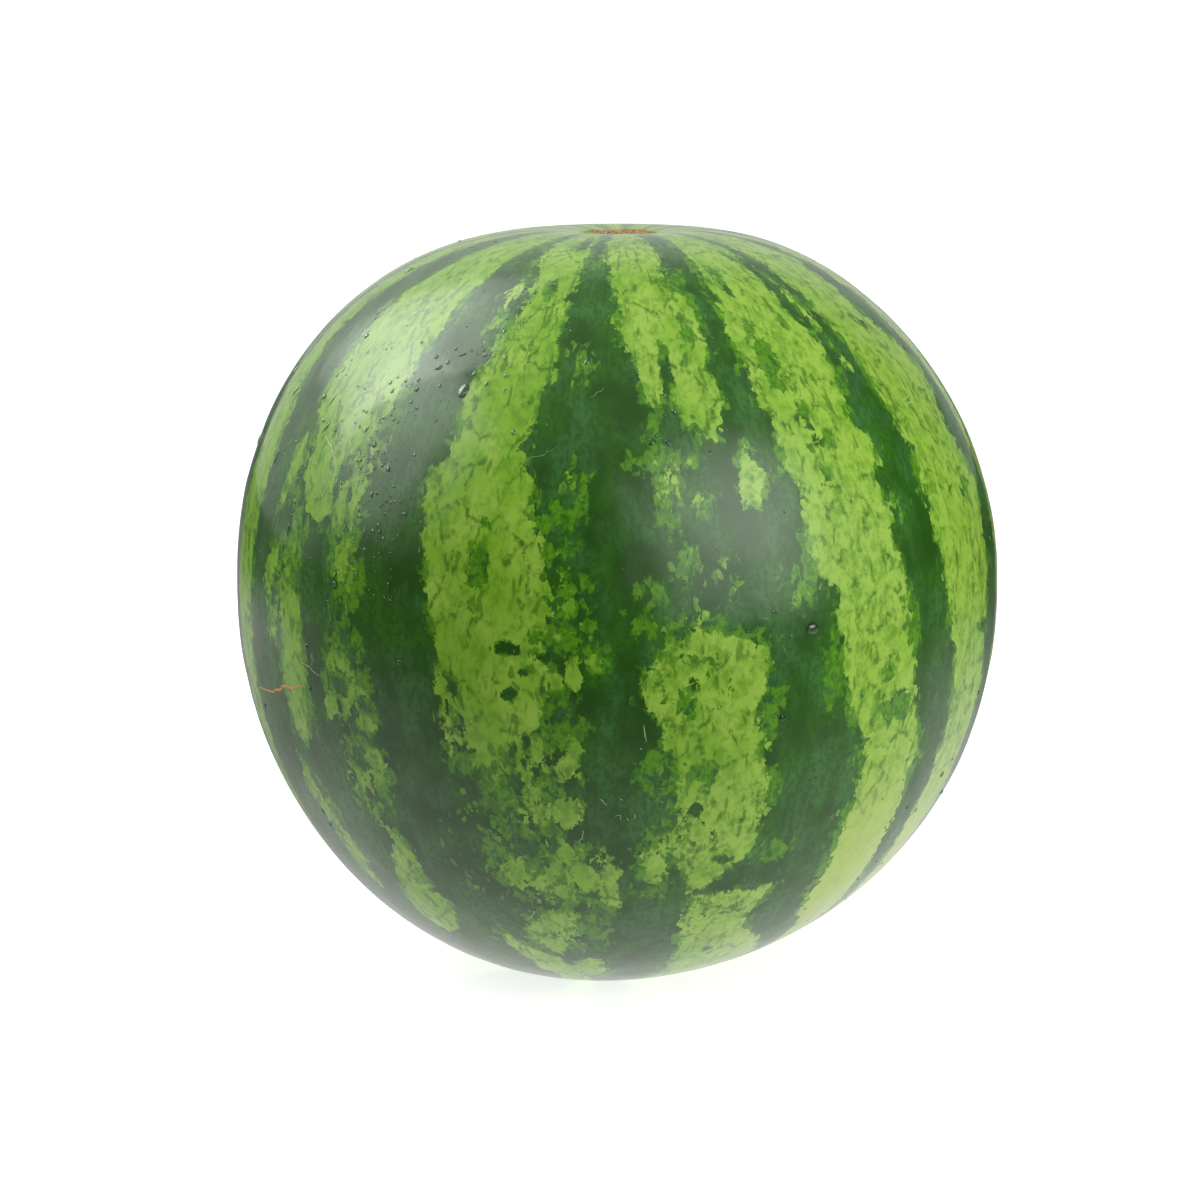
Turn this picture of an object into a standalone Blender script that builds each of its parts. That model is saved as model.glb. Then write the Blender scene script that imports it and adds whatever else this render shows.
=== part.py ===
# A whole round watermelon, standing on its base end.
# Metres, +Z up. The origin is on the surface it stands on, under the middle of the fruit.
# Longitude 0 faces -Y and grows towards +X. Latitude runs from 90 at the crown to -90 at the base.

import math

import bmesh
import bpy
from mathutils import Vector

# Driving dimensions of the fruit
WIDTH = 0.2496  # across the widest level
CROWN_RISE = 0.1224  # widest level up to where the crown would close without its flat top
BASE_REACH = 0.1318  # widest level down to where the lower half would close
FOOT_DROP = 0.1295  # widest level down to the flat ring that it stands on
CROWN_POWER = 2.1  # above 2, so the shoulders stand out fuller than a ball's
BASE_POWER = 2.04
CROWN_FLAT_DEPTH = 0.0063  # how far the broad top is pressed down
CROWN_FLAT_RADIUS = 0.047

# The upper half sways to one side and the ends lie a little off the axis, as the fruit grew
CROWN_SWAY = -0.0045
CROWN_LEAN = 0.0058
BASE_LEAN = -0.0058
SWAY_POWER = 2.0
LEAN_POWER = 6.0

# Low ridges that run from end to end over the fruit's veins
RIDGE_LONGITUDES = (2, 26, 49, 77, 108, 137, 166, 196, 225, 257, 287, 318, 341)
RIDGE_HEIGHT = 0.0007
RIDGE_HALF_WIDTH = 9.0  # degrees
SWELL_HEIGHT = 0.0005  # two opposite sides of the fruit are a little fuller
SWELL_LONGITUDE = 35.0
RELIEF_FADE = 1.5  # how fast ridges and swell die away towards the ends

# Basin and corky scar on the crown
CROWN_BASIN_DEPTH = 0.0030
CROWN_BASIN_RADIUS = 0.0150
SCAR_RING_RADIUS = 0.0096
SCAR_RING_WIDTH = 0.0017
SCAR_RING_HEIGHT = 0.0010
SCAR_KNOBS = 11  # lumps round the ring
SCAR_KNOB_DEPTH = 0.35  # share of the ring's height
SCAR_FLOOR_DEPTH = 0.0006
SCAR_FLOOR_RADIUS = 0.0058
SCAR_NUB_RADIUS = 0.0019
SCAR_NUB_HEIGHT = 0.0012

# Basin and round scar in the base
BASE_BASIN_DEPTH = 0.0052
BASE_BASIN_RADIUS = 0.0110
BASE_RING_RADIUS = 0.0052
BASE_RING_WIDTH = 0.0012
BASE_RING_HEIGHT = 0.0010
BASE_BUTTON_HEIGHT = 0.0008
BASE_BUTTON_RADIUS = 0.0022

# Faces: the rings of the ball are drawn towards both ends, where the scars are
SEGMENTS = 80
RINGS = 56
RING_CROWDING = 0.84

RIND_GREEN = (0.16, 0.34, 0.06, 1.0)
RIND_ROUGHNESS = 0.38
ROUND_EDGE_ANGLE = 60.0


def clear_scene():
    for old in list(bpy.data.objects):
        bpy.data.objects.remove(old)


def bell(distance, width):
    """1 at no distance, falling smoothly to nothing past about two widths."""
    return math.exp(-((distance / width) ** 2))


def crowded_latitude(latitude):
    """Moves an evenly spaced ring towards the nearer end of the fruit."""
    share = 0.5 - latitude / 180.0
    share -= RING_CROWDING * math.sin(2.0 * math.pi * share) / (2.0 * math.pi)
    return 90.0 - 180.0 * share


def turned_profile(latitude):
    """Radius and height above the widest level, for the plain turned body."""
    angle = math.radians(latitude)
    across, along = math.cos(angle), math.sin(angle)
    power = CROWN_POWER if along > 0.0 else BASE_POWER
    reach = CROWN_RISE if along > 0.0 else BASE_REACH
    sides = abs(across / (WIDTH / 2.0)) ** power + abs(along / reach) ** power
    length = sides ** (-1.0 / power)
    return max(length * across, 0.0), length * along


def side_relief(longitude, latitude):
    """How far the ridges and the fuller sides lift the rind, fading out at both ends."""
    lift = 0.0
    for crest in RIDGE_LONGITUDES:
        apart = (longitude - crest + 180.0) % 360.0 - 180.0
        lift += RIDGE_HEIGHT * bell(apart, RIDGE_HALF_WIDTH)
    turn = math.radians(longitude - SWELL_LONGITUDE)
    lift += SWELL_HEIGHT * math.cos(2.0 * turn)
    return lift * max(math.cos(math.radians(latitude)), 0.0) ** RELIEF_FADE


def crown_relief(radius, longitude):
    """Broad flat top, then the basin, raised corky ring and small nub of the scar."""
    turn = math.radians(longitude)
    lobes = 1.0 + 0.06 * math.sin(3.0 * turn + 0.6) + 0.04 * math.sin(5.0 * turn)
    knobs = 1.0 + SCAR_KNOB_DEPTH * math.sin(SCAR_KNOBS * turn)
    ring_at = SCAR_RING_RADIUS * lobes
    relief = -CROWN_FLAT_DEPTH * bell(radius, CROWN_FLAT_RADIUS)
    relief -= CROWN_BASIN_DEPTH * bell(radius, CROWN_BASIN_RADIUS)
    relief += SCAR_RING_HEIGHT * knobs * bell(radius - ring_at, SCAR_RING_WIDTH)
    relief -= SCAR_FLOOR_DEPTH * bell(radius, SCAR_FLOOR_RADIUS)
    relief += SCAR_NUB_HEIGHT * bell(radius, SCAR_NUB_RADIUS)
    return relief


def base_relief(radius):
    """Basin, ring and button of the base scar, as a rise from below."""
    relief = BASE_BASIN_DEPTH * bell(radius, BASE_BASIN_RADIUS)
    relief -= BASE_RING_HEIGHT * bell(radius - BASE_RING_RADIUS, BASE_RING_WIDTH)
    relief -= BASE_BUTTON_HEIGHT * bell(radius, BASE_BUTTON_RADIUS)
    return relief


def rind_point(longitude, latitude):
    """Place of a point of the finished outside, standing on z = 0."""
    radius, height = turned_profile(latitude)
    share = abs(math.sin(math.radians(latitude)))
    if latitude > 0.0:
        height += crown_relief(radius, longitude)
        shift = CROWN_SWAY * share ** SWAY_POWER + CROWN_LEAN * share ** LEAN_POWER
    else:
        height += base_relief(radius)
        shift = BASE_LEAN * share ** LEAN_POWER
    radius += side_relief(longitude, latitude)
    turn = math.radians(longitude)
    level = max(height + FOOT_DROP, 0.0)
    return Vector((radius * math.sin(turn) + shift, -radius * math.cos(turn), level))


def rind_material():
    material = bpy.data.materials.new("rind")
    material.use_nodes = True
    shader = material.node_tree.nodes["Principled BSDF"]
    shader.inputs["Base Color"].default_value = RIND_GREEN
    shader.inputs["Roughness"].default_value = RIND_ROUGHNESS
    shader.inputs["Metallic"].default_value = 0.0
    material.diffuse_color = RIND_GREEN
    return material


def make_melon(collection):
    """One solid: a ball whose points are moved to the outside of the fruit."""
    ball = bmesh.new()
    bmesh.ops.create_uvsphere(ball, u_segments=SEGMENTS, v_segments=RINGS, radius=1.0)
    for point in ball.verts:
        longitude = math.degrees(math.atan2(point.co.x, -point.co.y))
        latitude = math.degrees(math.asin(max(-1.0, min(1.0, point.co.z))))
        point.co = rind_point(longitude, crowded_latitude(latitude))
    mesh = bpy.data.meshes.new("melon")
    ball.to_mesh(mesh)
    ball.free()
    mesh.materials.append(rind_material())
    mesh.shade_smooth()
    mesh.set_sharp_from_angle(angle=math.radians(ROUND_EDGE_ANGLE))
    melon = bpy.data.objects.new("melon", mesh)
    collection.objects.link(melon)


def main():
    clear_scene()
    fruit = bpy.data.collections.new("watermelon")
    bpy.context.scene.collection.children.link(fruit)
    make_melon(fruit)


main()
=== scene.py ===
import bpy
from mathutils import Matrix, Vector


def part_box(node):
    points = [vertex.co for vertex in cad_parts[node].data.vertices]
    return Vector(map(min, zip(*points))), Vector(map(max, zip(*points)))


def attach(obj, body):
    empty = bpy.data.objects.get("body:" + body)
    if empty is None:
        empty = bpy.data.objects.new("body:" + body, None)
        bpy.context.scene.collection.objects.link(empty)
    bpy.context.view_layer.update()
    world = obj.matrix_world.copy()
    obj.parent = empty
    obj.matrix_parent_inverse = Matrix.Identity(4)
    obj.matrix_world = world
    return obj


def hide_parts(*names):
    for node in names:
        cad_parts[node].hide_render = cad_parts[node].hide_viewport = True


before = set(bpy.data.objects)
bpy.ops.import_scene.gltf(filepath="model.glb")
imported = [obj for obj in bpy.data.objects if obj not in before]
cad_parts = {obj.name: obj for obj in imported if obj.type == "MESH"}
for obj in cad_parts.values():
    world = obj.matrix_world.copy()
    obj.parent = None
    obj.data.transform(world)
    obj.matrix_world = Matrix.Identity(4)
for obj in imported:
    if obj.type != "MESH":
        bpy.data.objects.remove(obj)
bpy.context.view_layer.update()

import math

import bpy
import numpy as np
from mathutils import Matrix, Vector
from mathutils.bvhtree import BVHTree

# A round striped watermelon with water drops on it.
# Longitude 0 faces -Y and grows towards +X; latitude runs from 90 at the crown to -90 at the base.
# Sizes on the fruit are in millimetres and degrees, and are brought to the frame's metres at the end.
toMetres = 0.001
toMillimetres = 1000.0


class Wire:  # a socket that takes Python's own operators
    def __init__(self, plan, socket):
        self.plan = plan
        self.socket = socket

    def also(self, name):  # another output of the same node
        return Wire(self.plan, self.socket.node.outputs[name])

    def __add__(self, other):
        return self.plan.sum("ADD", self, other)

    def __radd__(self, other):
        return self.plan.sum("ADD", other, self)

    def __sub__(self, other):
        return self.plan.sum("SUBTRACT", self, other)

    def __rsub__(self, other):
        return self.plan.sum("SUBTRACT", other, self)

    def __mul__(self, other):
        return self.plan.sum("MULTIPLY", self, other)

    def __rmul__(self, other):
        return self.plan.sum("MULTIPLY", self, other)

    def __truediv__(self, other):
        return self.plan.sum("DIVIDE", self, other)

    def __rtruediv__(self, other):
        return self.plan.sum("DIVIDE", other, self)

    def __pow__(self, other):
        return self.plan.sum("POWER", self, other)

    def __neg__(self):
        return self.plan.sum("MULTIPLY", self, -1.0)

    def __abs__(self):
        return self.plan.sum("ABSOLUTE", self)


class Plan:  # a node tree that is being drawn up
    def __init__(self, tree):
        self.tree = tree

    def add(self, kind, settings, values, out=0):
        node = self.tree.nodes.new(kind)
        for name, value in settings.items():
            setattr(node, name, value)
        for key, value in values.items():
            if isinstance(value, Wire):
                self.tree.links.new(value.socket, node.inputs[key])
            else:
                node.inputs[key].default_value = value
        return Wire(self, node.outputs[out]) if len(node.outputs) else node

    def sum(self, operation, first, second=None):
        manyFirst, manySecond = (
            isinstance(v, tuple) or isinstance(v, Wire) and v.socket.type in ("VECTOR", "RGBA")
            for v in (first, second)
        )
        if not manyFirst and not manySecond:
            values = {0: first} if second is None else {0: first, 1: second}
            return self.add("ShaderNodeMath", {"operation": operation}, values)
        if operation == "MULTIPLY" and not manySecond:
            return self.add("ShaderNodeVectorMath", {"operation": "SCALE"}, {0: first, "Scale": second})
        return self.add("ShaderNodeVectorMath", {"operation": operation}, {0: first, 1: second})

    def rise(self, value, low, high):  # smooth step from 0 at low to 1 at high
        settings = {"interpolation_type": "SMOOTHSTEP"}
        return self.add("ShaderNodeMapRange", settings, {"Value": value, "From Min": low, "From Max": high})

    def bell(self, distance, width):  # 1 at no distance, nothing past about two widths
        return self.sum("EXPONENT", -((distance / width) ** 2.0))

    def larger(self, first, second):
        return self.sum("MAXIMUM", first, second)

    def smaller(self, first, second):
        return self.sum("MINIMUM", first, second)

    def length(self, place):
        return self.add("ShaderNodeVectorMath", {"operation": "LENGTH"}, {0: place}, "Value")

    def parts(self, place):  # its X; also("Y") and also("Z") give the others
        return self.add("ShaderNodeSeparateXYZ", {}, {0: place})

    def place(self, x, y, z):
        return self.add("ShaderNodeCombineXYZ", {}, {"X": x, "Y": y, "Z": z})

    def mix(self, share, first, second):  # colours
        settings = {"data_type": "RGBA", "blend_type": "MIX", "clamp_factor": True}
        return self.add("ShaderNodeMix", settings, {0: share, 6: first, 7: second}, 2)

    def noise(self, place, size, detail=2.0, rough=0.5, out=0):  # size of its lumps, in place's units
        values = {"Vector": place, "Scale": 1.0 / size, "Detail": detail, "Roughness": rough}
        return self.add("ShaderNodeTexNoise", {}, values, out)

    def cells(self, place, size, feature="F1", out=0):
        values = {"Vector": place, "Scale": 1.0 / size}
        return self.add("ShaderNodeTexVoronoi", {"feature": feature}, values, out)

    def finished(self, shape, material):  # the end of each tree: the export drops instances
        shape = self.add("GeometryNodeSetShadeSmooth", {}, {0: shape})
        shape = self.add("GeometryNodeRealizeInstances", {}, {0: shape})
        return self.add("GeometryNodeSetMaterial", {}, {"Geometry": shape, "Material": material})


def tint(code):  # a screen colour such as "96be50" as the renderer's own numbers
    parts = [int(code[k:k + 2], 16) / 255.0 for k in (0, 2, 4)]
    straight = [p / 12.92 if p <= 0.04045 else ((p + 0.055) / 1.055) ** 2.4 for p in parts]
    return (*straight, 1.0)


def clearedPlan(owner):
    # for a material, world or light whose nodes are drawn from nothing
    owner.use_nodes = True
    owner.node_tree.nodes.clear()
    return Plan(owner.node_tree)


def plainMaterial(name, sockets):
    # one even finish, set on the shader's own sockets
    material = bpy.data.materials.new(name)
    material.use_nodes = True
    surface = material.node_tree.nodes["Principled BSDF"]
    for label, value in sockets.items():
        surface.inputs[label].default_value = value
    return material


def newNodeModifier(name, thing, sizes, draw):
    # a Geometry Nodes tree with one named input for each size; draw gets the plan and those inputs
    tree = bpy.data.node_groups.new(name, "GeometryNodeTree")
    tree.interface.new_socket("Geometry", in_out="INPUT", socket_type="NodeSocketGeometry")
    tree.interface.new_socket("Geometry", in_out="OUTPUT", socket_type="NodeSocketGeometry")
    sockets = {}
    for label, value in sizes.items():
        kind = "NodeSocketInt" if isinstance(value, int) else "NodeSocketFloat"
        sockets[label] = tree.interface.new_socket(label, in_out="INPUT", socket_type=kind)
    plan = Plan(tree)
    given = plan.add("NodeGroupInput", {}, {})
    result = draw(plan, given, {label: given.also(label) for label in sizes})
    plan.add("NodeGroupOutput", {}, {0: result})
    modifier = thing.modifiers.new(name, "NODES")
    modifier.node_group = tree
    for label, value in sizes.items():
        modifier[sockets[label].identifier] = value


def madePlain(name, thing):
    # the evaluated result as a plain mesh on a new object at the origin
    bpy.context.view_layer.update()
    evaluated = thing.evaluated_get(bpy.context.evaluated_depsgraph_get())
    mesh = bpy.data.meshes.new_from_object(evaluated)
    mesh.name = name
    plain = bpy.data.objects.new(name, mesh)
    bpy.context.scene.collection.objects.link(plain)
    bpy.data.objects.remove(thing)
    return plain


def emptyStart(name, points=(), edges=()):
    # what a Geometry Nodes tree starts from
    mesh = bpy.data.meshes.new(name)
    mesh.from_pydata([tuple(point) for point in points], edges, [])
    start = bpy.data.objects.new(name, mesh)
    bpy.context.scene.collection.objects.link(start)
    return start


# The fruit's body

melonForm = {
    "segments": 330,
    "rings": 300,
    "ringCrowding": 0.5,  # draws the rings towards both ends, where the scars are
    "width": 249.6,
    "crownRise": 122.4,
    "baseReach": 131.8,
    "footDrop": 129.5,
    "crownPower": 2.1,  # above 2, so the shoulders stand out fuller than a ball's
    "basePower": 2.04,
    "crownFlatDepth": 6.3,
    "crownFlatRadius": 47.0,
    "crownSway": -4.5,
    "crownLean": 5.8,
    "baseLean": -5.8,
    "ridgeHeight": 0.7,
    "ridgeHalfWidth": 9.0,
    "swellHeight": 0.5,
    "swellLongitude": 35.0,
    "lumpHeight": 0.5,  # slow unevenness that bends the reflections
    "lumpSize": 34.0,
    "toneSize": 24.0,  # slow changes of colour from place to place
    "reliefFade": 1.5,  # how fast ridges and fuller sides die away towards the ends
    "swayPower": 2.0,
    "leanPower": 6.0,
    "crownBasinDepth": 3.0,
    "crownBasinRadius": 15.0,
    "crumbSize": 2.4,  # of the cork in both scars
    "scarRingRadius": 9.6,
    "scarRingWidth": 1.7,
    "scarRingHeight": 0.6,
    "scarKnobs": 11.0,  # lumps round the ring
    "scarKnobDepth": 0.35,
    "scarCracks": 9.5,
    "scarCrackWidth": 0.22,
    "scarCrackDepth": 0.7,
    "scarFloorRadius": 7.0,
    "scarNubHeight": 1.2,
    "scarNubRadius": 1.9,
    "baseBasinDepth": 5.2,
    "baseBasinRadius": 11.0,
    "baseRingRadius": 5.2,
    "baseRingWidth": 1.2,
    "baseRingHeight": 1.0,
    "baseButtonHeight": 0.8,
    "baseButtonRadius": 2.4,
    "footSoftness": 0.35,  # small round where the foot meets what it stands on
}
ridgeLongitudes = (2, 26, 49, 77, 108, 137, 166, 196, 225, 257, 287, 318, 341)


def drawMelon(plan, given, size):
    ball = plan.add("GeometryNodeMeshUVSphere", {}, {"Segments": size["segments"], "Rings": size["rings"]})
    place = plan.add("GeometryNodeInputPosition", {}, {})
    corner = plan.parts(place)
    turn = plan.sum("ARCTAN2", corner, -corner.also("Y"))
    share = 0.5 - plan.sum("ARCSINE", corner.also("Z")) / math.pi
    share = share - size["ringCrowding"] * plan.sum("SINE", share * math.tau) / math.tau
    tilt = math.pi / 2.0 - share * math.pi
    across = plan.larger(plan.sum("COSINE", tilt), 0.0)
    along = plan.sum("SINE", tilt)
    upper = plan.sum("GREATER_THAN", along, 0.0)
    lower = 1.0 - upper
    power = size["crownPower"] * upper + size["basePower"] * lower
    reach = size["crownRise"] * upper + size["baseReach"] * lower
    sides = (across / (size["width"] / 2.0)) ** power + (abs(along) / reach) ** power
    length = sides ** (-1.0 / power)
    radius = length * across
    height = length * along

    # ridges and fuller sides, dying away towards both ends
    longitude = turn * (180.0 / math.pi)
    latitude = tilt * (180.0 / math.pi)
    lift = size["swellHeight"] * plan.sum("COSINE", (longitude - size["swellLongitude"]) * (math.pi / 90.0))
    for crest in ridgeLongitudes:
        values = {0: longitude - float(crest), 1: 180.0, 2: -180.0}
        apart = plan.add("ShaderNodeMath", {"operation": "WRAP"}, values)
        lift = lift + size["ridgeHeight"] * plan.bell(apart, size["ridgeHalfWidth"])
    lift = lift * across ** size["reliefFade"]

    # crown: flat top, basin, corky ring with cracks, nub
    grain = place * size["width"]
    crumbs = plan.noise(grain, size["crumbSize"], 3.0, 0.6) - 0.5
    lobes = 1.0 + 0.06 * plan.sum("SINE", turn * 3.0 + 0.6) + 0.04 * plan.sum("SINE", turn * 5.0)
    knobs = 1.0 + size["scarKnobDepth"] * plan.sum("SINE", turn * size["scarKnobs"]) + crumbs * 1.2
    ringHere = plan.bell(radius - size["scarRingRadius"] * lobes, size["scarRingWidth"])
    cracks = plan.bell(plan.sum("SINE", turn * size["scarCracks"] + crumbs * 6.0), size["scarCrackWidth"])
    crown = -size["crownFlatDepth"] * plan.bell(radius, size["crownFlatRadius"])
    crown = crown - size["crownBasinDepth"] * plan.bell(radius, size["crownBasinRadius"])
    crown = crown + size["scarRingHeight"] * knobs * ringHere
    crown = crown - size["scarCrackDepth"] * cracks * ringHere
    crown = crown + (crumbs * 1.3 - 0.5) * plan.bell(radius, size["scarFloorRadius"])
    crown = crown + size["scarNubHeight"] * plan.bell(radius, size["scarNubRadius"])

    # base: basin, ring and button of the old flower end
    base = size["baseBasinDepth"] * plan.bell(radius, size["baseBasinRadius"])
    base = base - size["baseRingHeight"] * plan.bell(radius - size["baseRingRadius"], size["baseRingWidth"])
    base = base - (size["baseButtonHeight"] + crumbs) * plan.bell(radius, size["baseButtonRadius"])
    height = height + crown * upper + base * lower

    slow = plan.noise(grain, size["lumpSize"], 2.0, 0.5) - 0.5
    radius = radius + lift + slow * size["lumpHeight"] * 2.0 * across
    shareUp = abs(along)
    lean = shareUp ** size["leanPower"]
    shift = upper * (size["crownSway"] * shareUp ** size["swayPower"] + size["crownLean"] * lean)
    shift = shift + lower * size["baseLean"] * lean
    level = height + size["footDrop"]
    level = (level + (level * level + size["footSoftness"] ** 2.0) ** 0.5) / 2.0
    east = radius * plan.sum("SINE", turn) + shift
    placed = plan.place(east, -(radius * plan.sum("COSINE", turn)), level) * toMetres

    shape = ball
    tones = plan.noise(grain, size["toneSize"], 2.0, 0.5, 1)
    for name, value in {"longitude": longitude, "latitude": latitude, "tones": tones}.items():
        kind = "FLOAT_VECTOR" if name == "tones" else "FLOAT"
        values = {"Geometry": shape, "Name": name, "Value": value}
        shape = plan.add("GeometryNodeStoreNamedAttribute", {"data_type": kind}, values)
    shape = plan.add("GeometryNodeSetPosition", {}, {"Geometry": shape, "Position": placed})
    return plan.finished(shape, rindMaterial())


# The pattern of the rind

# pale bands that run between the dark stripes: rows of latitude, west edge and east edge
paleBands = {
    "farLeft": [
        (90, -82, -68), (80, -80, -70), (60, -80, -69.5), (45, -79, -71.5), (36, -78, -70.5),
        (30, -76.5, -68), (20, -77, -68.5), (0, -76, -68.5), (-20, -74, -70), (-60, -80, -71),
        (-90, -84, -70),
    ],
    "leftShoulder": [
        (90, -60, -40), (75, -58, -34.5), (70, -55, -34.5), (60, -56, -35), (55, -57.5, -36.5),
        (45, -58.5, -37), (40, -58.5, -37.7), (35, -58.5, -39.5), (31, -57.5, -39.5), (28, -56, -41),
        (25, -55.5, -45.5), (20, -54.5, -47), (16, -52.5, -47.5), (14.5, -50, -49),
    ],
    "leftSpur": [
        (27, -57.5, -57), (25, -60, -57.5), (22, -60.5, -57.5), (18, -61, -59.5), (16, -60.5, -60),
    ],
    "leftSliver": [(9, -60, -59.5), (7, -63, -59), (3, -62.5, -60.5), (-3, -61, -60.5)],
    "slenderDrip": [
        (6, -56, -55), (2, -57, -52.5), (-2, -57, -52), (-5, -58, -52), (-10, -58.5, -52),
        (-14, -58, -52.5), (-17, -57, -53.5), (-19, -56, -55),
    ],
    "lowDrip": [(-26, -56, -55), (-30, -57.5, -54), (-38, -57, -53), (-44, -55.5, -54)],
    "lowLeft": [
        (-31, -39.5, -38.5), (-35, -41, -37.5), (-38, -43, -37.5), (-41, -44, -36.5), (-44, -45, -35.5),
        (-48, -46, -36), (-51, -45, -37), (-53, -42, -40),
    ],
    "leftOfMiddle": [
        (90, -26, -14), (80, -27, -13), (70, -27, -10), (66, -26, -9), (62, -23.5, -8.3),
        (60, -21.8, -8.5), (57, -20.5, -9.5), (53, -20, -10.8), (50, -20.5, -10), (47, -20.8, -10.3),
        (45, -23.5, -10), (41, -22.5, -10.2), (38, -24, -11), (35, -25.5, -12.5), (30, -24.5, -14),
        (26, -25, -13.5), (24, -28, -13), (22, -29, -12.8), (18, -28.3, -12), (15, -28.3, -10.8),
        (10, -27.5, -10), (5, -27, -9.5), (0, -26, -9), (-3, -25.5, -8), (-6, -25.5, -8.5),
        (-10, -24.5, -10.5), (-13, -24.5, -13), (-16, -23.5, -17), (-18, -23, -21),
    ],
    "tongue": [(-12.5, -6.5, -6), (-14, -7, -5.3), (-17, -8, -5.3), (-20, -8.5, -7)],
    "lowDiagonal": [
        (-51, -25.5, -23.5), (-54, -25, -20), (-58, -23, -13), (-62, -21, -9), (-66, -18, -6),
        (-90, -16, -6),
    ],
    "rightOfMiddle": [
        (90, -4, 10), (80, -4, 12), (75, -4, 13), (70, -3.6, 14), (65, -2.6, 14.3), (60, -1, 12.8),
        (57, -0.2, 12.5), (55, 0.2, 14.5), (54, 0.5, 17.5), (50, 1.5, 18), (45, 2, 18.5), (42, 3.8, 18),
        (40, 5, 17), (37, 5.5, 18), (34, 6, 18.3), (32.5, 10, 17.8), (31, 12, 17), (29, 14.5, 16),
    ],
    "teardrop": [(28, 20, 20.5), (26, 19, 21.5), (23, 18.6, 22.6), (21, 18.8, 22), (19.5, 20, 21)],
    "midBlock": [
        (2.4, 11.5, 13.5), (1.0, 8, 18), (-0.4, 6, 21), (-3, 4.5, 21.4), (-6, 4, 21), (-8.5, 4.5, 20.7),
        (-10, 6, 20), (-14, 6.5, 21), (-16.5, 9, 20.5), (-18, 9, 22), (-20, 8, 23.3), (-24, 10, 23.3),
        (-27, 9.5, 22), (-29, 7.5, 22.5), (-31, 6, 23), (-33, 11, 21.5), (-36, 11.5, 18.5),
        (-39, 13.5, 16.5),
    ],
    "lowMiddle": [
        (-40, 14, 28), (-43, 13.5, 27.5), (-46, 14, 26.5), (-50, 14.5, 30), (-53, 15.5, 36),
        (-57, 17, 41), (-61, 18, 46), (-66, 19, 46), (-72, 19, 44), (-90, 18, 42),
    ],
    "rightShoulder": [
        (90, 26, 40), (80, 27, 43), (70, 26, 44), (65, 25, 43.3), (61, 25, 41), (55, 25, 41.5),
        (50, 24.7, 41.3), (45, 24, 42.6), (42, 24, 43.8), (38, 24.2, 43), (35, 25.3, 41.6),
        (30, 26.8, 41.4), (27, 26.5, 44.0), (24, 26.5, 44.4), (21.5, 28.5, 42.2), (17, 28.2, 43.2),
        (13, 27.8, 43.5), (10, 28, 45), (8, 31, 45.3), (4, 31.8, 45.8), (0, 33.5, 46), (-5, 33.3, 47),
        (-8, 34.3, 47), (-12, 35.5, 48), (-14, 37.5, 49), (-16, 40, 51), (-20, 39.5, 51.8), (-33, 40, 52),
        (-38, 40, 53.5), (-44, 41, 55), (-48, 43, 56.5), (-53, 48, 59), (-60, 52, 62), (-90, 56, 64),
    ],
    "rightStreak": [
        (66, 43.8, 44.3), (60, 44.5, 45.3), (54, 45.3, 46), (48, 45.8, 46.4), (38, 46.7, 47.2),
    ],
    "farRight": [
        (90, 54, 64), (80, 50, 68), (70, 49, 70), (60, 50, 70), (52, 50.3, 67.5), (48, 50.3, 66),
        (44, 51, 69), (40, 51.2, 71.5), (36, 51.3, 73), (32, 51.6, 72), (30, 52, 69), (25, 53, 69.3),
        (21, 53, 71.5), (17, 53.3, 72.3), (11, 53.8, 70.5), (5, 55, 71), (0, 56, 70), (-4, 57.5, 70),
        (-8, 59.3, 71), (-14, 60, 72), (-30, 60, 71), (-40, 61, 71), (-50, 63, 73), (-60, 66, 76),
        (-90, 70, 80),
    ],
}

# oval marks: longitude, latitude, half width and half height in degrees
paleSpots = [
    (7.4, 25.4, 2.0, 0.8), (8.6, 22.5, 0.9, 1.6), (12.0, 20.3, 0.7, 0.8), (-8, -24.5, 2.6, 2.4),
    (-7.5, -31.5, 3, 1.6), (-16.5, -36, 2.2, 3.8), (-11, -37.5, 4, 3.4), (-1, -38, 1.9, 3.8),
    (-4.5, -36, 3.2, 2.6), (-11.5, -47, 5, 3.4), (-13.5, -52, 3.4, 2.6), (-4.5, -62, 3.6, 4),
    (6.5, -34, 1.8, 3.4), (-42.3, 10, 1.6, 2.6), (-41, 5, 1.4, 1.6), (-43, -6, 2.0, 0.9),
    (-40, -8.5, 1.8, 0.9), (-45.5, -11, 1.2, 1.8), (-38.5, -12.5, 1.4, 1.5), (-38, -19, 1.6, 1.6),
    (-43.5, -24, 1.4, 1.8), (-39, -22, 1.6, 1.2), (-44.8, 17, 0.8, 2.4), (-41.5, 21, 0.5, 3.4),
    (-24.5, 53, 0.8, 3.2), (-58.5, -26, 1.2, 2.6), (-7.8, 1.2, 1.7, 1.5), (-3.3, -2.0, 1.4, 1.2),
    (-5.3, -4.4, 1.2, 1.1), (-12.3, -25.2, 2.2, 1.5), (-40.4, 25.4, 0.7, 2.4),
]
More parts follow.
